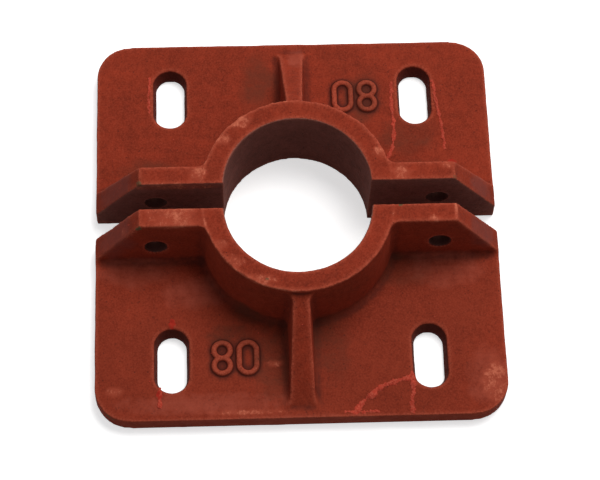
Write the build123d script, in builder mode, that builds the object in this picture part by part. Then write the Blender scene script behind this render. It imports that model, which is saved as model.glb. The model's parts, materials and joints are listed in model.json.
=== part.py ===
"""Tube clamp base flange: two identical iron castings that close round a tube and bolt down to a surface.

Frame, in millimetres: the origin is on the ground, midway between the two halves. X runs across the parting
line, Y along it and Z up along the tube. The far half is the near half turned by 180 degrees about Z.
"""

import os
from math import radians, tan

from build123d import *

# Base plate
FLANGE_WIDTH = 250.0  # along the parting line
HALF_DEPTH = 120.0  # from a half's parting face to its outer edge
PARTING_GAP = 16.5  # between the two parting faces, with the halves lying loose
PLATE_THICKNESS = 12.0
OUTER_CORNER_RADIUS = 22.0

# Collar round the tube
OVERALL_HEIGHT = 55.0
BORE_RADIUS = 45.0  # for a tube of 88.9 mm
BORE_SETBACK = 2.0  # the bore's axis lies this far beyond the parting face, so that the halves pinch the tube
COLLAR_FOOT_WALL = 15.6  # at the plate

DRAFT = 3.7  # degrees, on the outside of the collar and ears

# Clamping ears, which stand along the parting face
EAR_FOOT_THICKNESS = 14.7  # at the plate
EAR_FLAT = 96.0  # from the middle to the end of the level top edge
EAR_END_RISE = 1.5  # height above the plate where the sloping edge ends
EAR_HOLE_RADIUS = 6.5  # for M12
EAR_HOLE_SPACING = 174.0
EAR_HOLE_HEIGHT = 29.0

# Rib from the collar to the plate's outer edge
RIB_TOP_WIDTH = 9.5
RIB_FOOT_WIDTH = 15.6
RIB_DROP = 3.5  # from the collar's top to the rib's upper end
RIB_END_MARGIN = 6.5  # from the rib's lower end to the plate's edge

# Anchor slots, for M16, which run across the parting line
SLOT_WIDTH = 18.0
SLOT_LENGTH = 38.0
SLOT_SPACING = 156.8  # along the parting line
SLOT_MARGIN = 38.5  # from the slot's centre to the plate's outer edge
SLOT_LAND = 4.5  # height of the straight wall under the flare
SLOT_FLARE = 14.0  # degrees that the upper wall opens by

# Raised size number
DIGIT_HEIGHT = 22.4
DIGIT_WIDTH = 13.4
DIGIT_PITCH = 15.6
DIGIT_STROKE = 2.8
DIGIT_RELIEF = 1.2
DIGIT_CLEARANCE = 22.2  # outwards from the collar's foot to the middle of the digits
NUMBER_OFFSET = 40.1  # from the rib's middle to the middle of the number

# Cast roundings
CORNER_RADIUS = 4.0
RIB_CORNER_RADIUS = 5.0
FOOT_RADIUS = 4.0
SLOT_MOUTH_RADIUS = 1.2
RIM_RADIUS = 1.0

parting_face = PARTING_GAP / 2
outer_edge = parting_face + HALF_DEPTH
half_width = FLANGE_WIDTH / 2
bore_centre = parting_face - BORE_SETBACK
collar_foot_radius = BORE_RADIUS + COLLAR_FOOT_WALL
collar_top_radius = collar_foot_radius - (OVERALL_HEIGHT - PLATE_THICKNESS) * tan(radians(DRAFT))
rib_top = OVERALL_HEIGHT - RIB_DROP
slot_centre = outer_edge - SLOT_MARGIN
digit_centre = bore_centre + collar_foot_radius + DIGIT_CLEARANCE
loop_radius = (DIGIT_HEIGHT + DIGIT_STROKE) / 4  # the two loops of the 8 share their middle stroke
loop_offset = loop_radius - DIGIT_STROKE / 2


# Collar and ears: one drafted wall on the plate, drawn across the parting face and then cut off there
with BuildPart() as upright:
    with BuildSketch(Plane.XY.offset(PLATE_THICKNESS)) as upright_foot:
        with Locations((parting_face, 0)):
            Rectangle(2 * EAR_FOOT_THICKNESS, 2 * FLANGE_WIDTH)
        with Locations((bore_centre, 0)):
            Circle(collar_foot_radius)
        corners = upright_foot.vertices().filter_by_position(Axis.Y, -half_width, half_width)
        fillet(corners.group_by(Axis.X)[-1], radius=CORNER_RADIUS)
    extrude(amount=OVERALL_HEIGHT - PLATE_THICKNESS, taper=DRAFT)
    with BuildSketch(Plane.YZ.offset(parting_face)):
        Polygon(
            (-half_width, 0),
            (half_width, 0),
            (half_width, PLATE_THICKNESS + EAR_END_RISE),
            (EAR_FLAT, OVERALL_HEIGHT),
            (-EAR_FLAT, OVERALL_HEIGHT),
            (-half_width, PLATE_THICKNESS + EAR_END_RISE),
            align=None,
        )
    extrude(amount=HALF_DEPTH, mode=Mode.INTERSECT)

# The rib: a drafted bar from inside the collar's wall, cut to its sloping side view
with BuildPart() as rib:
    rib_root = bore_centre + BORE_RADIUS + COLLAR_FOOT_WALL / 2
    rib_upper_end = bore_centre + collar_top_radius
    rib_lower_end = outer_edge - RIB_END_MARGIN
    slope = (rib_top - PLATE_THICKNESS) / (rib_lower_end - rib_upper_end)
    root_top = rib_top + slope * (rib_upper_end - rib_root)
    draft = (RIB_FOOT_WIDTH - RIB_TOP_WIDTH) / 2 / (rib_top - PLATE_THICKNESS)
    root_half_width = RIB_TOP_WIDTH / 2 - draft * (root_top - rib_top)
    with BuildSketch(Plane.YZ.offset(rib_root)):
        Polygon(
            (-RIB_FOOT_WIDTH / 2, 0),
            (RIB_FOOT_WIDTH / 2, 0),
            (RIB_FOOT_WIDTH / 2, PLATE_THICKNESS),
            (root_half_width, root_top),
            (-root_half_width, root_top),
            (-RIB_FOOT_WIDTH / 2, PLATE_THICKNESS),
            align=None,
        )
    extrude(amount=rib_lower_end - rib_root)
    with BuildSketch(Plane.XZ):
        Polygon(
            (rib_root, 0),
            (rib_lower_end, 0),
            (rib_lower_end, PLATE_THICKNESS),
            (rib_root, root_top),
            align=None,
        )
    extrude(amount=RIB_FOOT_WIDTH, both=True, mode=Mode.INTERSECT)
    # above its upper end the rib's root stays inside the collar
    split(bisect_by=Plane.XY.offset(rib_top), keep=Keep.BOTTOM)

with BuildPart() as flange_half_near:
    # Base plate
    with BuildSketch() as plate_outline:
        with Locations((parting_face, 0)):
            Rectangle(HALF_DEPTH, FLANGE_WIDTH, align=(Align.MIN, Align.CENTER))
        fillet(plate_outline.vertices().group_by(Axis.X)[-1], radius=OUTER_CORNER_RADIUS)
    extrude(amount=PLATE_THICKNESS)

    add(upright.part)
    add(rib.part)

    # Cast fillets: first down the rib's two sides, then along the foot of the ears, collar and rib
    inner_edges = flange_half_near.edges().filter_by(Edge.is_interior)
    rib_sides = inner_edges.filter_by(GeomType.ELLIPSE).filter_by_position(Axis.Z, PLATE_THICKNESS, rib_top - 1)
    fillet(rib_sides, radius=RIB_CORNER_RADIUS)
    inner_edges = flange_half_near.edges().filter_by(Edge.is_interior)
    feet = inner_edges.filter_by_position(Axis.Z, PLATE_THICKNESS - 0.01, PLATE_THICKNESS + 0.01)
    fillet(feet, radius=FOOT_RADIUS)

    # Bore for the tube
    with Locations((bore_centre, 0, 0)):
        Hole(radius=BORE_RADIUS)
    rim = flange_half_near.edges().filter_by(GeomType.CIRCLE).group_by(Axis.Z)[-1]
    fillet(rim, radius=RIM_RADIUS)

    # Anchor slots: a straight land at the bottom and a flared mouth above it
    with BuildSketch():
        with Locations((slot_centre, -SLOT_SPACING / 2), (slot_centre, SLOT_SPACING / 2)):
            SlotOverall(SLOT_LENGTH, SLOT_WIDTH)
    extrude(amount=PLATE_THICKNESS, mode=Mode.SUBTRACT)
    with BuildSketch(Plane.XY.offset(SLOT_LAND)):
        with Locations((slot_centre, -SLOT_SPACING / 2), (slot_centre, SLOT_SPACING / 2)):
            SlotOverall(SLOT_LENGTH, SLOT_WIDTH)
    extrude(amount=PLATE_THICKNESS - SLOT_LAND, taper=-SLOT_FLARE, mode=Mode.SUBTRACT)

    fillet(flange_half_near.edges(Select.LAST).group_by(Axis.Z)[-1], radius=SLOT_MOUTH_RADIUS)

    # Clamp bolt holes through the ears
    with BuildSketch(Plane.YZ.offset(parting_face)):
        with Locations((-EAR_HOLE_SPACING / 2, EAR_HOLE_HEIGHT), (EAR_HOLE_SPACING / 2, EAR_HOLE_HEIGHT)):
            Circle(EAR_HOLE_RADIUS)
    extrude(amount=EAR_FOOT_THICKNESS, mode=Mode.SUBTRACT)

    # Raised size number, an 8 and a 0, which reads from the outer edge
    with BuildSketch(Plane.XY.offset(PLATE_THICKNESS)):
        with Locations((digit_centre, -NUMBER_OFFSET - DIGIT_PITCH / 2)):
            with Locations((-loop_offset, 0), (loop_offset, 0)):
                Circle(loop_radius)
            with Locations((-loop_offset, 0), (loop_offset, 0)):
                Circle(loop_radius - DIGIT_STROKE, mode=Mode.SUBTRACT)
        with Locations((digit_centre, -NUMBER_OFFSET + DIGIT_PITCH / 2)):
            SlotOverall(DIGIT_HEIGHT, DIGIT_WIDTH)
            SlotOverall(DIGIT_HEIGHT - 2 * DIGIT_STROKE, DIGIT_WIDTH - 2 * DIGIT_STROKE, mode=Mode.SUBTRACT)
    extrude(amount=DIGIT_RELIEF)

with BuildPart() as flange_half_far:
    add(flange_half_near.part, rotation=(0, 0, 180))

flange_half_near.part.label = "flange_half_near"
flange_half_far.part.label = "flange_half_far"

os.makedirs("parts", exist_ok=True)
export_step(flange_half_near.part, "parts/flange_half_near.step")
export_step(flange_half_far.part, "parts/flange_half_far.step")
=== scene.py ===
"""Tube clamp base flange: two loose halves, each an iron sand casting under a matt coat of red-oxide primer.

Metres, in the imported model's frame: X runs across the parting line towards the near half, Y along it, Z up.
"""

import json
from math import cos, sin

import bmesh
import bpy
import numpy as np
from mathutils import Matrix, Vector, noise


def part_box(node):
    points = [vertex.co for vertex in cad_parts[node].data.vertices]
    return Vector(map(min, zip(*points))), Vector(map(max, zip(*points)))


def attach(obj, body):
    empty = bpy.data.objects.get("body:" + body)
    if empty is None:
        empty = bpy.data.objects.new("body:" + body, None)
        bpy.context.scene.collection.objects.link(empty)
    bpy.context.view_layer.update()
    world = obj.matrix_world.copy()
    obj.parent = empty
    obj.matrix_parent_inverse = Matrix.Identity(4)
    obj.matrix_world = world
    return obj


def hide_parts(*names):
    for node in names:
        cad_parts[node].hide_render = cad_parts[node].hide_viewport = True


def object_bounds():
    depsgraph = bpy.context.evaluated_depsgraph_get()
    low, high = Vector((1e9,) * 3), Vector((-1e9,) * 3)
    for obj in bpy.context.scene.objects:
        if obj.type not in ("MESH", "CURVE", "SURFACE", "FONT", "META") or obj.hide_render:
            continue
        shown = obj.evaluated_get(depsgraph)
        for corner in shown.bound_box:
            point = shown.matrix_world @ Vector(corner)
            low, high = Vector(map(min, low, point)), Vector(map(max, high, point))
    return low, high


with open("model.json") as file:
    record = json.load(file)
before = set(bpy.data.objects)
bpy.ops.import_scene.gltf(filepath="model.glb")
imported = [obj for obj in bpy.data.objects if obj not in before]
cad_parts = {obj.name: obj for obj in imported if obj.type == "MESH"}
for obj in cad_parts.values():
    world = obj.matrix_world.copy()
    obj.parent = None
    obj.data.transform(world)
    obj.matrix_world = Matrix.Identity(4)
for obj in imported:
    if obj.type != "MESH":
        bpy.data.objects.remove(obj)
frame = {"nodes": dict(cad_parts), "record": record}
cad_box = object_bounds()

MM = 0.001

mounts = {mount["name"]: mount for mount in frame["record"]["mounts"]}
bore = mounts["tube_clamp_near"]
slots = mounts["anchor_slots"]["dims"]
ear_holes = mounts["clamp_bolts"]

BORE_RADIUS = bore["dims"]["r_mm"] * MM
BORE_CENTRE = bore["pos_m"][0]  # from the middle, on either side
SLOT_FROM_MIDDLE = (slots["spacing_x_mm"] / 2 * MM, slots["spacing_y_mm"] / 2 * MM)
SLOT_STRAIGHT = (slots["slot_length_mm"] - 2 * slots["hole_r_mm"]) * MM  # between the round ends' centres
SLOT_MOUTH = 23.4 * MM  # across the flared top, with its rounding
EAR_HOLE_FROM_MIDDLE = ear_holes["dims"]["spacing_x_mm"] / 2 * MM
EAR_HOLE_HEIGHT = ear_holes["pos_m"][2]
EAR_HOLE_RADIUS = ear_holes["dims"]["hole_r_mm"] * MM
PARTING_FACE = round(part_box("flange_half_near")[0][0], 6)  # from the middle, on either side
COLLAR_TOP = round(cad_box[1][2], 6)
RIM_RADIUS = 57.8 * MM  # outer edge of the collar's top
PLATE_TOP = 12 * MM

# The raised number, in millimetres
DIGIT_CENTRE = (89.05, -40.1)
DIGIT_PITCH = 15.6
EIGHT_LOOP = 4.9  # radius of each loop's middle line
NOUGHT_RADIUS = 5.3
NOUGHT_STRAIGHT = 9.0
NO_STROKE = 6.0  # stands for any distance from a stroke that is out of reach

scene = bpy.context.scene
scene.view_settings.view_transform = "Standard"


# ---------------------------------------------------------------- camera and light

def aimed(location, target, roll=0.0):
    """A placement at location whose -Z looks at target, rolled about its line of sight."""
    forward = (Vector(target) - Vector(location)).normalized()
    right = forward.cross(Vector((0, 0, 1))).normalized()
    up = right.cross(forward)
    rolled = Matrix((right * cos(roll) + up * sin(roll), up * cos(roll) - right * sin(roll), -forward))
    return Matrix.Translation(location) @ rolled.transposed().to_4x4()


def added(name, data):
    """A new object in the scene."""
    obj = bpy.data.objects.new(name, data)
    scene.collection.objects.link(obj)
    return obj


camera = added("camera", bpy.data.cameras.new("camera"))
camera.data.sensor_width = 36
camera.data.lens = 124.7
camera.matrix_world = aimed(location=(0.547, -0.0378, 1.1879), target=(0.0059, 0.0022, 0), roll=0.0454)
scene.camera = camera

key_light = added("key", bpy.data.lights.new("key", "AREA"))
key_light.data.size = 0.95
key_light.data.energy = 24.5
key_light.data.color = (1, 0.98, 0.96)
key_light.matrix_world = aimed(location=(-0.60, 0.45, 1.62), target=(0, 0, 0))


# ---------------------------------------------------------------- nodes

def add_node(tree, kind, inputs=(), **settings):
    """A node with its settings made, then its inputs linked or filled, by name or by number."""
    made = tree.nodes.new(kind)
    for key, value in settings.items():
        setattr(made, key, value)
    for key, value in dict(inputs).items():
        if isinstance(value, bpy.types.NodeSocket):
            tree.links.new(value, made.inputs[key])
        else:
            made.inputs[key].default_value = value
    return made


def math_node(tree, operation, a, b=0.0, clamp=False):
    return add_node(tree, "ShaderNodeMath", {0: a, 1: b}, operation=operation, use_clamp=clamp).outputs[0]


def vector_math(tree, operation, a, b):
    """Two vectors combined, or for SCALE a vector and a number."""
    second = "Scale" if operation == "SCALE" else 1
    return add_node(tree, "ShaderNodeVectorMath", {0: a, second: b}, operation=operation).outputs[0]


def ranged(tree, value, low, high, to_low=0.0, to_high=1.0):
    """value stretched so that low..high becomes to_low..to_high, and clamped there."""
    inputs = {"Value": value, "From Min": low, "From Max": high, "To Min": to_low, "To Max": to_high}
    return add_node(tree, "ShaderNodeMapRange", inputs).outputs["Result"]


def mixed(tree, factor, a, b):
    """Two colours mixed by a factor; a Mix node's colours are its sockets 6 and 7, and 2 on the way out."""
    return add_node(tree, "ShaderNodeMix", {0: factor, 6: a, 7: b}, data_type="RGBA").outputs[2]


def tinted(tree, colour, mask, tint, strength=1.0):
    """colour turned to tint by a mask times its strength, which may be a mask too."""
    return mixed(tree, math_node(tree, "MULTIPLY", mask, strength), colour, tint + (1,))


def attribute(tree, name):
    return add_node(tree, "ShaderNodeAttribute", attribute_name=name).outputs["Fac"]


def object_place(tree):
    return add_node(tree, "ShaderNodeTexCoord").outputs["Object"]


def noise_mask(tree, vector, scale, detail=3.0, roughness=0.55, distortion=0.0):
    inputs = {"Vector": vector, "Scale": scale, "Detail": detail, "Roughness": roughness}
    return add_node(tree, "ShaderNodeTexNoise", {**inputs, "Distortion": distortion}).outputs[0]


# ---------------------------------------------------------------- world and floor

def background_ray(tree):
    """1 where a ray sees the background as such: straight from the camera, or in gloss or glass."""
    ray = add_node(tree, "ShaderNodeLightPath").outputs
    gloss = math_node(tree, "ADD", ray["Is Glossy Ray"], ray["Is Transmission Ray"])
    return math_node(tree, "ADD", ray["Is Camera Ray"], gloss, clamp=True)


def studio_world():
    """White as a background, and a dim, cool light from all round on everything else."""
    world = bpy.data.worlds.new("studio")
    world.use_nodes = True
    tree = world.node_tree
    tree.nodes.clear()
    dim = add_node(tree, "ShaderNodeBackground", {"Color": (0.90, 0.95, 1.0, 1), "Strength": 0.21})
    white = add_node(tree, "ShaderNodeBackground", {"Color": (1, 1, 1, 1), "Strength": 1.0})
    inputs = {0: background_ray(tree), 1: dim.outputs[0], 2: white.outputs[0]}
    shader = add_node(tree, "ShaderNodeMixShader", inputs)
    add_node(tree, "ShaderNodeOutputWorld", {"Surface": shader.outputs[0]})
    return world


def empty_material(name):
    """A material without nodes, and its tree."""
    material = bpy.data.materials.new(name)
    material.use_nodes = True
    material.node_tree.nodes.clear()
    return material, material.node_tree


def floor_material():
    """Pale, with the object's shadow on it, to the camera, and grey to the light that bounces off it."""
    material, tree = empty_material("floor")
    grey = add_node(tree, "ShaderNodeBsdfDiffuse", {"Color": (0.34, 0.33, 0.33, 1)})
    pale = add_node(tree, "ShaderNodeBsdfDiffuse", {"Color": (0.9, 0.9, 0.9, 1)})
    glow = add_node(tree, "ShaderNodeEmission", {"Color": (1, 1, 1, 1), "Strength": 0.6})
    lit = add_node(tree, "ShaderNodeAddShader", {0: pale.outputs[0], 1: glow.outputs[0]})
    inputs = {0: background_ray(tree), 1: grey.outputs[0], 2: lit.outputs[0]}
    shader = add_node(tree, "ShaderNodeMixShader", inputs)
    add_node(tree, "ShaderNodeOutputMaterial", {"Surface": shader.outputs[0]})
    return material


scene.world = studio_world()

FLOOR_REACH = 4  # from the middle to each side
FLOOR_DROP = 0.1 * MM  # below the object's underside

floor_level = cad_box[0][2] - FLOOR_DROP
corners = [(x * FLOOR_REACH, y * FLOOR_REACH) for x, y in ((-1, -1), (1, -1), (1, 1), (-1, 1))]
floor_mesh = bpy.data.meshes.new("floor")
floor_mesh.from_pydata([(x, y, floor_level) for x, y in corners], [], [(0, 1, 2, 3)])
floor_mesh.materials.append(floor_material())
floor = added("floor", floor_mesh)


# ---------------------------------------------------------------- materials

def shader_group(name, inputs=()):
    """An empty shader group, and the sockets that its named inputs, all numbers, come in by."""
    group = bpy.data.node_groups.new(name, "ShaderNodeTree")
    for socket in inputs:
        group.interface.new_socket(name=socket, in_out="INPUT", socket_type="NodeSocketFloat")
    return group, group.nodes.new("NodeGroupInput").outputs


def finished_group(group, results):
    """The group with its results, by name, as its outputs."""
    for name, value in results.items():
        kind = "NodeSocketVector" if value.type == "VECTOR" else "NodeSocketFloat"
        group.interface.new_socket(name=name, in_out="OUTPUT", socket_type=kind)
    add_node(group, "NodeGroupOutput", results)
    return group


def cast_skin_group():
    """Sand-cast skin under thin paint: soft blotches, sand grain and pinholes, with a bump."""
    group, given = shader_group("cast_skin", ["Relief"])
    place = object_place(group)
    broad = noise_mask(group, place, scale=24, detail=4, roughness=0.6, distortion=0.5)
    middling = noise_mask(group, place, scale=170, detail=6, roughness=0.72, distortion=0.3)
    broad = math_node(group, "MULTIPLY", broad, 0.45)
    middling = math_node(group, "MULTIPLY", middling, 0.55)
    blotch = ranged(group, math_node(group, "ADD", broad, middling), 0.36, 0.64)
    grain = noise_mask(group, place, scale=900, detail=4, roughness=0.7)
    inputs = {"Vector": place, "Scale": 420.0, "Randomness": 1.0}
    cells = add_node(group, "ShaderNodeTexVoronoi", inputs).outputs["Distance"]
    rare = ranged(group, noise_mask(group, place, scale=150, detail=2), 0.52, 0.64)
    pits = math_node(group, "MULTIPLY", ranged(group, cells, 0.10, 0.26, 1.0, 0.0), rare)
    dimple = noise_mask(group, place, scale=210, detail=3, roughness=0.5)
    height = math_node(group, "ADD", math_node(group, "MULTIPLY", grain, 0.5), dimple)
    height = math_node(group, "SUBTRACT", height, math_node(group, "MULTIPLY", pits, 0.5))
    inputs = {"Strength": given["Relief"], "Distance": 0.6 * MM, "Height": height}
    normal = add_node(group, "ShaderNodeBump", inputs).outputs["Normal"]
    return finished_group(group, {"Blotch": blotch, "Grain": grain, "Pits": pits, "Normal": normal})


def fleck_group():
    """Breaks a soft mask up into ragged flecks."""
    group, given = shader_group("flecks", ["Mask", "Fill", "Scale"])
    place = object_place(group)
    fine = noise_mask(group, place, given["Scale"], detail=6, roughness=0.75)
    coarse_scale = math_node(group, "MULTIPLY", given["Scale"], 0.22)
    coarse = noise_mask(group, place, coarse_scale, detail=3, roughness=0.6)
    ragged = math_node(group, "MULTIPLY", math_node(group, "ADD", fine, coarse), 0.5)
    filled = math_node(group, "MULTIPLY", given["Mask"], given["Fill"])
    flecks = ranged(group, math_node(group, "ADD", filled, ragged), 0.66, 0.82)
    return finished_group(group, {"Flecks": flecks})


def streak_group():
    """Faint brush streaks that run along the parting line."""
    group, _ = shader_group("streaks")
    inputs = {"Vector": object_place(group), "Rotation": (0, 0, 0.06), "Scale": (150, 26, 90)}
    drawn_out = add_node(group, "ShaderNodeMapping", inputs).outputs[0]
    streaks = noise_mask(group, drawn_out, scale=1.0, detail=5, roughness=0.6, distortion=0.7)
    return finished_group(group, {"Streaks": ranged(group, streaks, 0.3, 0.7)})


CAST_SKIN = cast_skin_group()
FLECKS = fleck_group()
STREAKS = streak_group()

# painted shade near the collar, the ribs and the ears, and over the near plate
SHADE_BROWN = (0.095, 0.029, 0.016)
DUST_PINK = (0.40, 0.085, 0.052)
# painted shade on the ears' slopes
SLOPE_SHADE_RED = (0.19, 0.052, 0.042)
RUBBED_RED = (0.46, 0.085, 0.045)
SCUFFED_PINK = (0.64, 0.17, 0.095)
# painted shade round the foot of the raised number
NUMBER_SHADE_BROWN = (0.05, 0.008, 0.005)
FRESH_RED = (0.38, 0.026, 0.014)
BARE_IRON = (0.13, 0.085, 0.04)


def flecked(tree, mask, fill, scale):
    """A piece's mask, broken up into flecks."""
    inputs = {"Mask": attribute(tree, mask), "Fill": fill, "Scale": scale}
    return add_node(tree, "ShaderNodeGroup", inputs, node_tree=FLECKS).outputs["Flecks"]


def number_foot_shade(tree):
    """Painted shade: a dark line on either side of each stroke of the raised number, round the foot of its
    relief.
    """
    stroke = attribute(tree, "stroke")
    beyond_edge = ranged(tree, stroke, 1.45, 1.8)
    close_by = ranged(tree, stroke, 2.2, 2.9, 1.0, 0.0)
    return math_node(tree, "MULTIPLY", beyond_edge, close_by)


def marked(tree, colour, blotch, streaks):
    """colour with dust, wear, bare iron, thick new paint and painted shade where a piece's masks say."""
    uneven = math_node(tree, "ADD", blotch, math_node(tree, "MULTIPLY", streaks, 0.5))
    uneven = ranged(tree, uneven, 0.35, 1.1, 0.25, 1.0)
    # painted shade near the collar, the ribs and the ears, and over the near plate
    colour = tinted(tree, colour, attribute(tree, "painted_shade"), SHADE_BROWN, uneven)
    colour = tinted(tree, colour, attribute(tree, "dust"), DUST_PINK, uneven)
    # painted shade on the ears' slopes
    colour = tinted(tree, colour, attribute(tree, "ear_slope_shade"), SLOPE_SHADE_RED)
    colour = tinted(tree, colour, attribute(tree, "worn"), RUBBED_RED, 0.45)
    colour = tinted(tree, colour, flecked(tree, "worn", fill=0.2, scale=700.0), SCUFFED_PINK)
    # painted shade round the foot of the raised number
    colour = tinted(tree, colour, number_foot_shade(tree), NUMBER_SHADE_BROWN, 0.75)
    colour = tinted(tree, colour, flecked(tree, "fresh", fill=0.4, scale=400.0), FRESH_RED)
    return tinted(tree, colour, flecked(tree, "bare", fill=0.3, scale=600.0), BARE_IRON)


def shade(colour, amount):
    """A colour made darker or lighter, as four channels."""
    return tuple(amount * channel for channel in colour) + (1,)


def primer_material(name, deep, plain, light, relief, marks):
    """Matt primer, with painted shade in the hollows and a painted highlight on the edges, and dusty and
    worn, with more painted shade, too if marks is true.
    """
    material, tree = empty_material(name)
    skin = add_node(tree, "ShaderNodeGroup", {"Relief": relief}, node_tree=CAST_SKIN).outputs
    streaks = add_node(tree, "ShaderNodeGroup", node_tree=STREAKS).outputs["Streaks"]
    blotch = math_node(tree, "MULTIPLY", skin["Blotch"], 0.7)
    tone = math_node(tree, "ADD", blotch, math_node(tree, "MULTIPLY", streaks, 0.22))
    colour = mixed(tree, tone, shade(plain, 0.62), shade(plain, 1.3))

    grain = skin["Grain"]
    colour = tinted(tree, colour, ranged(tree, grain, 0.45, 0.75, 0.0, 0.4), light)
    colour = tinted(tree, colour, ranged(tree, grain, 0.3, 0.46, 0.4, 0.0), deep)
    # painted highlight on the edges and ridges, broken up by the sand grain
    highlight_strength = ranged(tree, grain, 0.35, 0.6, 0.2, 0.9)
    colour = tinted(tree, colour, attribute(tree, "crest_highlight"), light, highlight_strength)
    # painted shade in the hollows, slots and ear holes
    colour = tinted(tree, colour, attribute(tree, "hollow_shade"), deep, 0.8)
    colour = tinted(tree, colour, skin["Pits"], deep, 0.7)
    if marks:
        colour = marked(tree, colour, skin["Blotch"], streaks)

    roughness = ranged(tree, grain, 0.3, 0.7, 0.72, 0.9)
    inputs = {"Base Color": colour, "Roughness": roughness, "Normal": skin["Normal"]}
    shader = add_node(tree, "ShaderNodeBsdfPrincipled", {**inputs, "Specular IOR Level": 0.08})
    add_node(tree, "ShaderNodeOutputMaterial", {"Surface": shader.outputs[0]})
    return material


PRIMER = primer_material(
    "red_oxide_primer",
    deep=(0.06, 0.012, 0.009),
    plain=(0.27, 0.031, 0.0125),
    light=(0.46, 0.085, 0.045),
    relief=0.6,
    marks=True,
)
DARK_PRIMER = primer_material(
    "thin_dark_primer",
    deep=(0.045, 0.016, 0.013),
    plain=(0.25, 0.082, 0.062),
    light=(0.40, 0.13, 0.09),
    relief=0.7,
    marks=True,
)
FRESH_PRIMER = primer_material(
    "thick_fresh_primer",
    deep=(0.17, 0.012, 0.007),
    plain=(0.46, 0.048, 0.026),
    light=(0.82, 0.24, 0.15),
    relief=0.5,
    marks=False,
)


# ---------------------------------------------------------------- marks

SPOT_EDGE = 1.3  # squared distance at which a mark has faded out, in reaches
SPOT_RAGGEDNESS = 0.6  # how far its outline wanders, in the same measure
SPOT_LIMIT = 2.4  # no mark's outline wanders this far out

# Each mark in millimetres: its centre, then its reach along each axis

# Paint rubbed thin and pale
WORN = [
    ((14, -76, 55), (9, 19, 4)),
    ((108, 117, 12), (15, 9, 5)),
    ((109, -113, 12), (4, 5, 2)),
    ((93, -16, 12), (2.5, 5, 2)),
    ((-50, -35, 55), (5, 9, 3)),
    ((-38, -45, 55), (4, 6, 3)),
    ((56, -26, 55), (3.5, 12, 3)),
    ((44, -40, 55), (5, 7, 3)),
    ((33, -48, 55), (4, 5, 3)),
    ((-8.25, -75, 51), (2, 30, 4)),
    ((-13, 64, 55), (5, 6, 3)),
    ((-17.5, 92, 55), (2.5, 3.5, 2)),
    ((-27, 52, 55), (4, 5, 3)),
    ((124, -34, 12), (2, 26, 3)),
    ((19, 82, 55), (3, 4, 3)),
    ((14, 95.5, 55), (8, 1.2, 2)),
    ((-14, -60, 55), (6, 6, 3)),
    ((17, -108, 42), (3, 4, 4)),
]

# Iron showing through at knocked edges
BARE = [
    ((20.5, -97, 53), (2, 3, 3)),
    ((-9.5, -96, 54), (2.5, 3, 3)),
    ((124, -116, 9), (4, 7, 3)),
    ((8.6, 62, 55), (1.6, 1.8, 1.6)),
    ((55.8, -20, 55), (1.2, 1.6, 1.6)),
    ((-9, 96, 54), (2, 2, 2)),
]

# Pale dust on the near plate, the far rib and the near plate's edge
DUST = [
    ((45, -66, 12), (12, 17, 5)),
    ((30, -100, 12), (12, 22, 5)),
    ((104, 112, 12), (18, 12, 5)),
    ((118, -60, 12), (7, 50, 5)),
    ((30, 90, 12), (14, 25, 5)),
    ((-117, 3, 18), (14, 6, 10)),
    ((128, 0, 6), (3, 125, 7)),
]

# Painted shade, brown, on the plates near the collar, the ribs and the ears
SHADE_SPOTS = [
    ((92, -17, 12), (32, 13, 8)),
    ((80, 20, 12), (30, 16, 8)),
    ((74, -44, 12), (8, 16, 4)),
    ((57, -30, 13), (10, 12, 6)),
    ((34, 64, 12), (14, 20, 6)),
    ((-34, 78, 12), (9, 24, 4)),
    ((-60, 72, 12), (14, 20, 4)),
    ((-88, 45, 12), (20, 12, 4)),
    ((-98, -22, 12), (22, 14, 4)),
    ((-36, -92, 12), (10, 20, 4)),
]

# Painted shade, a duller and darker red, on the ears' slopes
EAR_SLOPE_SHADE = [
    ((15, -113, 34), (12, 15, 22)),
    ((-15, -113, 34), (12, 15, 22)),
    ((15, 115, 31), (9, 12, 19)),
    ((-14, 116, 30), (9, 10, 16)),
]

# A thin film of painted shade over the whole near plate
NEAR_PLATE_SHADE = [((78, 0, 8), (80, 170, 10))]

# Thick, bright new paint
FRESH = [
    ((112, -86, 12), (4, 2, 2)),
    ((66, -78, 12), (4, 2.5, 2)),
    ((-36, 68, 12), (6, 2.5, 2)),
    ((-39, 99, 12), (4, 4, 2)),
]


def ripple(points, wavelength, octaves, seed):
    """Smooth noise, about -1 to 1, at each point."""
    shift = Vector((17.3, 5.1, 9.7)) * seed
    scaled = (points / wavelength).tolist()
    return np.array([noise.fractal(Vector(p) + shift, 0.8, 2.0, octaves) for p in scaled])


def soft_spots(points, spots):
    """A mask, 0 to 1, that fades out round each place with a ragged outline."""
    mask = np.zeros(len(points))
    for number, (centre, reach) in enumerate(spots):
        away = (((points / MM - np.array(centre)) / np.array(reach)) ** 2).sum(axis=1)
        near = np.flatnonzero(away < SPOT_LIMIT)
        ragged = ripple(points[near], 0.9 * min(reach[:2]) * MM, 3, 20 + number)
        spot = np.clip(SPOT_EDGE - away[near] + SPOT_RAGGEDNESS * ragged, 0, 1)
        mask[near] = np.maximum(mask[near], spot)
    return mask


def bell(values, middle, width):
    """1 at the middle, falling off smoothly over about a width on either side."""
    return np.exp(-(((values - middle) / width) ** 2))


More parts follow.
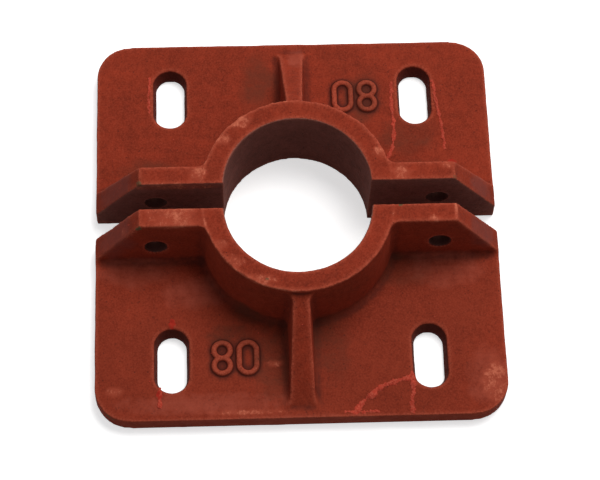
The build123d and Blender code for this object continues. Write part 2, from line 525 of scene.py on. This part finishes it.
def from_digit_stroke(points, side):
    """Millimetres from the middle line of the raised 8 and 0, for points near the plate's top."""
    u = side * points[:, 0] / MM - DIGIT_CENTRE[0]
    v = side * points[:, 1] / MM - DIGIT_CENTRE[1]
    eight = np.abs(np.hypot(np.abs(u) - EIGHT_LOOP, v + DIGIT_PITCH / 2) - EIGHT_LOOP)
    past_straight = np.maximum(np.abs(u) - NOUGHT_STRAIGHT / 2, 0)
    nought = np.abs(np.hypot(past_straight, v - DIGIT_PITCH / 2) - NOUGHT_RADIUS)
    on_plate = np.abs(points[:, 2] - PLATE_TOP) < 2.5 * MM
    return np.where(on_plate, np.minimum(np.minimum(eight, nought), NO_STROKE), NO_STROKE)


def from_bore_axis(points, side):
    return np.hypot(points[:, 0] - side * BORE_CENTRE, points[:, 1])


def in_slot(points):
    along = np.maximum(np.abs(np.abs(points[:, 0]) - SLOT_FROM_MIDDLE[0]) - SLOT_STRAIGHT / 2, 0)
    across = np.abs(np.abs(points[:, 1]) - SLOT_FROM_MIDDLE[1])
    return (np.hypot(along, across) < SLOT_MOUTH / 2) & (points[:, 2] < PLATE_TOP - 0.9 * MM)


def in_ear_hole(points):
    across = np.abs(points[:, 1]) - EAR_HOLE_FROM_MIDDLE
    return np.hypot(across, points[:, 2] - EAR_HOLE_HEIGHT) < EAR_HOLE_RADIUS + 0.4 * MM


def at_parting(points, normals):
    return (np.abs(points[:, 0]) < PARTING_FACE + 0.5 * MM) & (np.abs(normals[:, 0]) > 0.75)


# ---------------------------------------------------------------- castings

VOXEL = 0.75 * MM  # size of a casting's faces before its flat areas are thinned out
MOST_TRIANGLES = 185000  # in one casting
SOFTENING_ROUNDS = 3
BULGE_ROUNDS = 10
BULGE_DEPTH = 0.4 * MM  # how far a full crest or hollow stands off its smoothed surroundings

# The cast skin's waves: wavelength in millimetres, octaves, height in millimetres
SKIN_WAVES = [(26, 2, 0.22), (6, 3, 0.09), (1.9, 2, 0.05)]


def vector_array(items, name):
    """A vector of each vertex or face, as rows."""
    values = np.empty(len(items) * 3, np.float32)
    items.foreach_get(name, values)
    return values.reshape(-1, 3).astype(np.float64)


def edge_array(mesh):
    values = np.empty(len(mesh.edges) * 2, np.int32)
    mesh.edges.foreach_get("vertices", values)
    return values.reshape(-1, 2)


def move_vertices(mesh, points):
    mesh.vertices.foreach_set("co", points.ravel().astype(np.float32))
    mesh.update()


def averaged(points, edges):
    """Each point moved to the mean of its neighbours."""
    ends = np.concatenate((edges[:, 0], edges[:, 1]))
    others = np.concatenate((edges[:, 1], edges[:, 0]))
    count = np.maximum(np.bincount(ends, minlength=len(points)), 1)
    sums = [np.bincount(ends, weights=points[others, i], minlength=len(points)) for i in range(3)]
    return np.stack(sums, axis=1) / count[:, None]


def evaluated_mesh(obj):
    return bpy.data.meshes.new_from_object(obj.evaluated_get(bpy.context.evaluated_depsgraph_get()))


def dense_mesh(node):
    """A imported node's shape as an even mesh of small faces."""
    mesh = node.data.copy()
    mesh.transform(node.matrix_world)
    welded = bmesh.new()
    welded.from_mesh(mesh)
    bmesh.ops.remove_doubles(welded, verts=welded.verts, dist=1e-6)
    welded.to_mesh(mesh)
    welded.free()
    mesh.materials.clear()
    source = added("source", mesh)
    remesh = source.modifiers.new("remesh", "REMESH")
    remesh.mode = "VOXEL"
    remesh.voxel_size = VOXEL
    dense = evaluated_mesh(source)
    bpy.data.objects.remove(source)
    return dense


def cast_unevenness(points, normals, side, seed):
    """How far out each point moves, for skin waves, flash, the number's strokes and thick new paint."""
    height = np.zeros(len(points))
    for number, (wavelength, octaves, wave_height) in enumerate(SKIN_WAVES):
        height += ripple(points, wavelength * MM, octaves, seed + number) * wave_height * MM
    parting = at_parting(points, normals)
    height[parting] += ripple(points[parting], 3 * MM, 3, seed + 3) * 0.14 * MM
    on_rim = bell(from_bore_axis(points, side), RIM_RADIUS, 0.9 * MM)
    on_rim *= bell(points[:, 2], COLLAR_TOP - 0.4 * MM, 1.0 * MM)
    height += on_rim * np.clip(ripple(points, 3.5 * MM, 3, seed + 4) + 0.35, 0, 1) * 0.6 * MM
    height += np.clip(1.9 - from_digit_stroke(points, side), 0, 1) * 0.65 * MM
    height += soft_spots(points, FRESH) * (ripple(points, 2.2 * MM, 2, seed + 5) + 0.25) * 0.9 * MM
    return height


def shape_as_cast(mesh, side, seed):
    """Softens the mesh's edges and makes its faces uneven; the underside stays flat."""
    edges = edge_array(mesh)
    points = vector_array(mesh.vertices, "co")
    underside = points[:, 2] < 0.3 * MM
    for _ in range(SOFTENING_ROUNDS):
        points = (points + averaged(points, edges)) / 2
    move_vertices(mesh, points)
    normals = vector_array(mesh.vertices, "normal")
    height = np.where(underside, 0, cast_unevenness(points, normals, side, seed))
    points += normals * height[:, None]
    points[:, 2] = np.where(underside, 0, np.clip(points[:, 2], 0, COLLAR_TOP + 0.3 * MM))
    move_vertices(mesh, points)


def lighter(mesh):
    """The mesh with its flat areas thinned out, where it has too many triangles."""
    triangles = sum(len(face.vertices) - 2 for face in mesh.polygons)
    if triangles <= MOST_TRIANGLES:
        return mesh
    source = added("source", mesh)
    source.modifiers.new("thin", "DECIMATE").ratio = MOST_TRIANGLES / triangles
    thinned = evaluated_mesh(source)
    bpy.data.objects.remove(source)
    return thinned


def add_masks(mesh, side):
    """The attributes that tell the primer where it has painted highlight or painted shade, and where it is
    dusty, worn, bare or thick.
    """
    points = vector_array(mesh.vertices, "co")
    normals = vector_array(mesh.vertices, "normal")
    edges = edge_array(mesh)
    smoothed = points
    for _ in range(BULGE_ROUNDS):
        smoothed = averaged(smoothed, edges)
    bulge = ((points - smoothed) * normals).sum(axis=1) / BULGE_DEPTH
    # painted shade: deepest in the slots and ear holes, and in the hollows by how far they sink
    shaded = in_slot(points) | in_ear_hole(points)
    hollow_shade = np.clip(-1.2 * bulge - 0.1, 0, 1) * (points[:, 2] > 4 * MM)
    rim_wear = bell(from_bore_axis(points, side), RIM_RADIUS, 1.1 * MM) * (points[:, 2] > COLLAR_TOP - 2 * MM)
    rim_wear *= np.where(points[:, 1] < 0, 0.9, 0.4)
    masks = {
        # painted highlight on the crests
        "crest_highlight": np.clip(bulge - 0.1, 0, 1) * ~shaded,
        "hollow_shade": np.maximum(hollow_shade, 0.9 * shaded),
        "stroke": from_digit_stroke(points, side),
        "worn": np.maximum(soft_spots(points, WORN), rim_wear),
        # painted shade on the ears' slopes
        "ear_slope_shade": 0.5 * soft_spots(points, EAR_SLOPE_SHADE),
        "dust": 0.5 * soft_spots(points, DUST),
        # painted shade near the collar, the ribs and the ears, and thinly over the near plate
        "painted_shade": np.maximum(0.6 * soft_spots(points, SHADE_SPOTS), 0.2 * soft_spots(points, NEAR_PLATE_SHADE)),
        "bare": soft_spots(points, BARE),
        "fresh": soft_spots(points, FRESH),
    }
    for name, values in masks.items():
        mesh.attributes.new(name, "FLOAT", "POINT").data.foreach_set("value", values.astype(np.float32))


def paint_faces(mesh, side):
    """Red primer, thin and dark in the bore, at the parting, in the ear holes and underneath."""
    centres = vector_array(mesh.polygons, "center")
    facing = vector_array(mesh.polygons, "normal")
    in_bore = from_bore_axis(centres, side) < BORE_RADIUS + 0.6 * MM
    below = facing[:, 2] < -0.9
    dark = in_bore | at_parting(centres, facing) | in_ear_hole(centres) | below
    for material in (PRIMER, DARK_PRIMER):
        mesh.materials.append(material)
    mesh.polygons.foreach_set("material_index", dark.astype(np.int32))
    mesh.shade_smooth()


def casting(name, node_name, side, seed):
    """One half as cast and primed; side is 1 for the near half and -1 for the far one."""
    mesh = dense_mesh(frame["nodes"][node_name])
    shape_as_cast(mesh, side, seed)
    mesh = lighter(mesh)
    add_masks(mesh, side)
    paint_faces(mesh, side)
    piece = added(name, mesh)
    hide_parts(node_name)
    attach(piece, "root")
    return piece


CASTINGS = {
    "near": casting("casting_near", "flange_half_near", side=1, seed=1),
    "far": casting("casting_far", "flange_half_far", side=-1, seed=11),
}


# ---------------------------------------------------------------- raised veins and nibs

VEIN_STEP = 0.5 * MM  # between the sections along a vein
VEIN_START_DEPTH = 0.1 * MM  # of a vein's path under the plate's top
VEIN_FLATTENING = 0.62  # how much of a vein's height over the plate's top is taken away
FULL_TURN = 6.28  # radians

# Each vein of thick paint, in millimetres: its radius, then its path on the plate
VEINS = {
    "vein_near_bend": (
        1.9,
        [(100.5, 66.5), (104, 65), (106.5, 57), (109.5, 48.5), (114.5, 42), (121, 34.5), (125.5, 32)],
    ),
    "vein_near_straight": (1.5, [(101, 66.5), (110, 67), (119, 66), (127.0, 65.8)]),
    "vein_near_edge": (1.3, [(125.2, 25), (125.8, 33), (125.4, 40), (125.6, 46)]),
    "vein_far_inner": (1.3, [(-99, 64.6), (-84, 63.6), (-70, 64), (-54, 63), (-47, 60.5), (-42, 57.5)]),
    "vein_far_outer": (1.1, [(-100, 91), (-85, 92), (-68, 94.5), (-50, 96)]),
    "vein_far_blob": (2.6, [(-40, 67.4), (-36, 68.3), (-31, 68)]),
    "vein_far_left": (0.8, [(-106, -91.5), (-101, -91), (-92, -92), (-80, -91.3)]),
    "vein_near_left": (1.2, [(120, -86), (112, -85.6), (107, -85.9)]),
}
VEIN_SHAPE = {"Wander": 3 * MM, "Lumps": 2.0 * MM, "Level": PLATE_TOP, "Material": FRESH_PRIMER}

# Nibs of each kind: how many to the square metre, their largest radius and their material
NIBS = {
    "primer": (9000.0, 0.36 * MM, PRIMER),
    "fresh": (900.0, 0.5 * MM, FRESH_PRIMER),
}


def geometry_tree(name, inputs):
    """An empty Geometry Nodes tree, and the sockets that its named inputs come in by."""
    tree = bpy.data.node_groups.new(name, "GeometryNodeTree")
    tree.interface.new_socket(name="Geometry", in_out="OUTPUT", socket_type="NodeSocketGeometry")
    for socket, kind in inputs.items():
        tree.interface.new_socket(name=socket, in_out="INPUT", socket_type="NodeSocket" + kind)
    return tree, tree.nodes.new("NodeGroupInput").outputs


def finished_tree(tree, geometry, material):
    """The tree, ending in its geometry with all instances made real and in one material."""
    real = add_node(tree, "GeometryNodeRealizeInstances", {"Geometry": geometry}).outputs[0]
    painted = add_node(tree, "GeometryNodeSetMaterial", {"Geometry": real, "Material": material}).outputs[0]
    add_node(tree, "NodeGroupOutput", {"Geometry": painted})
    return tree


def moved(tree, geometry, offset):
    return add_node(tree, "GeometryNodeSetPosition", {"Geometry": geometry, "Offset": offset}).outputs[0]


def vein_tree():
    """A wandering, lumpy ridge along a path, thicker and thinner as it goes, and flattened onto the plate."""
    inputs = {
        "Path": "Geometry",
        "Radius": "Float",
        "Wander": "Float",
        "Lumps": "Float",
        "Level": "Float",
        "Seed": "Float",
        "Material": "Material",
    }
    tree, given = geometry_tree("raised_vein", inputs)
    place = add_node(tree, "GeometryNodeInputPosition").outputs[0]

    # The path, smoothed and made to waver
    path = add_node(tree, "GeometryNodeMeshToCurve", {"Mesh": given["Path"]}).outputs[0]
    smooth = add_node(tree, "GeometryNodeCurveSplineType", {"Curve": path}, spline_type="CATMULL_ROM")
    inputs = {"Curve": smooth.outputs[0], "Length": VEIN_STEP}
    path = add_node(tree, "GeometryNodeResampleCurve", inputs, mode="LENGTH").outputs[0]
    inputs = {"Vector": place, "W": given["Seed"], "Scale": 260.0, "Detail": 3.0}
    waver = add_node(tree, "ShaderNodeTexNoise", inputs, noise_dimensions="4D").outputs
    sideways = vector_math(tree, "SUBTRACT", waver["Color"], (0.5, 0.5, 0.5))
    sideways = vector_math(tree, "MULTIPLY", sideways, (1, 1, 0))
    path = moved(tree, path, vector_math(tree, "SCALE", sideways, given["Wander"]))

    # A round section, with lumps
    thickness = ranged(tree, waver[0], 0.35, 0.62, 0.3, 1.2)
    radius = math_node(tree, "MULTIPLY", thickness, given["Radius"])
    section = add_node(tree, "GeometryNodeCurvePrimitiveCircle", {"Resolution": 20, "Radius": 1.0}).outputs[0]
    inputs = {"Curve": path, "Profile Curve": section, "Scale": radius, "Fill Caps": True}
    ridge = add_node(tree, "GeometryNodeCurveToMesh", inputs).outputs[0]
    lumps = noise_mask(tree, place, scale=1000.0, detail=2.0, roughness=0.5)
    lumps = math_node(tree, "MULTIPLY", math_node(tree, "SUBTRACT", lumps, 0.45), given["Lumps"])
    normal = add_node(tree, "GeometryNodeInputNormal").outputs[0]
    ridge = moved(tree, ridge, vector_math(tree, "SCALE", normal, lumps))

    # Flattened towards the plate's top
    height = add_node(tree, "ShaderNodeSeparateXYZ", {0: place}).outputs[2]
    below = math_node(tree, "SUBTRACT", given["Level"], height)
    sunk = math_node(tree, "MULTIPLY", below, VEIN_FLATTENING)
    ridge = moved(tree, ridge, add_node(tree, "ShaderNodeCombineXYZ", {2: sunk}).outputs[0])
    return finished_tree(tree, ridge, given["Material"])


def nib_tree():
    """Grains of sand and paint caught on the faces that look up."""
    inputs = {
        "Surface": "Geometry",
        "Density": "Float",
        "Size": "Float",
        "Seed": "Int",
        "Material": "Material",
    }
    tree, given = geometry_tree("nibs", inputs)
    normal = add_node(tree, "GeometryNodeInputNormal").outputs[0]
    up = add_node(tree, "ShaderNodeSeparateXYZ", {0: normal}).outputs[2]
    inputs = {"Mesh": given["Surface"], "Density": given["Density"], "Seed": given["Seed"]}
    inputs["Selection"] = math_node(tree, "GREATER_THAN", up, 0.5)
    points = add_node(tree, "GeometryNodeDistributePointsOnFaces", inputs).outputs["Points"]

    grain = add_node(tree, "GeometryNodeMeshIcoSphere", {"Radius": 1.0, "Subdivisions": 1}).outputs[0]
    place = add_node(tree, "GeometryNodeInputPosition").outputs[0]
    inputs = {"Vector": place, "Scale": 1.6, "Detail": 1.0}
    uneven = add_node(tree, "ShaderNodeTexNoise", inputs).outputs["Color"]
    grain = moved(tree, grain, vector_math(tree, "SUBTRACT", uneven, (0.5, 0.5, 0.5)))

    inputs = {"Min": 0.35, "Max": 1.0, "Seed": given["Seed"]}
    spread = add_node(tree, "FunctionNodeRandomValue", inputs, data_type="FLOAT").outputs["Value"]
    size = math_node(tree, "MULTIPLY", spread, given["Size"])
    inputs = {"Min": (0, 0, 0), "Max": (FULL_TURN, FULL_TURN, FULL_TURN)}
    turn = add_node(tree, "FunctionNodeRandomValue", inputs, data_type="FLOAT_VECTOR").outputs["Value"]
    inputs = {"Points": points, "Instance": grain, "Rotation": turn, "Scale": size}
    nibs = add_node(tree, "GeometryNodeInstanceOnPoints", inputs).outputs[0]
    return finished_tree(tree, nibs, given["Material"])


def grown(name, source_mesh, tree, values):
    """A piece made by running a tree, with its named inputs set, on a mesh."""
    source = added("source", source_mesh)
    modifier = source.modifiers.new("grow", "NODES")
    modifier.node_group = tree
    for item in tree.interface.items_tree:
        if item.in_out == "INPUT" and item.name in values:
            modifier[item.identifier] = values[item.name]
    mesh = evaluated_mesh(source)
    source.modifiers.clear()
    bpy.data.objects.remove(source)
    mesh.name = name
    mesh.shade_smooth()
    piece = added(name, mesh)
    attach(piece, "root")


def vein_path(name, corners):
    """An open line along the plate's top, through corners given in millimetres."""
    line = bpy.data.meshes.new(name)
    vertices = [(x * MM, y * MM, PLATE_TOP - VEIN_START_DEPTH) for x, y in corners]
    line.from_pydata(vertices, [(i, i + 1) for i in range(len(corners) - 1)], [])
    return line


vein_nodes = vein_tree()
for number, (name, (radius, corners)) in enumerate(VEINS.items()):
    values = {**VEIN_SHAPE, "Radius": radius * MM, "Seed": 3.0 * number}
    grown(name, vein_path(name, corners), vein_nodes, values)

nib_nodes = nib_tree()
for number, (side, piece) in enumerate(CASTINGS.items()):
    for kind, (density, size, material) in NIBS.items():
        values = {"Density": density, "Size": size, "Seed": 5 + number, "Material": material}
        grown(f"nibs_{kind}_{side}", piece.data.copy(), nib_nodes, values)
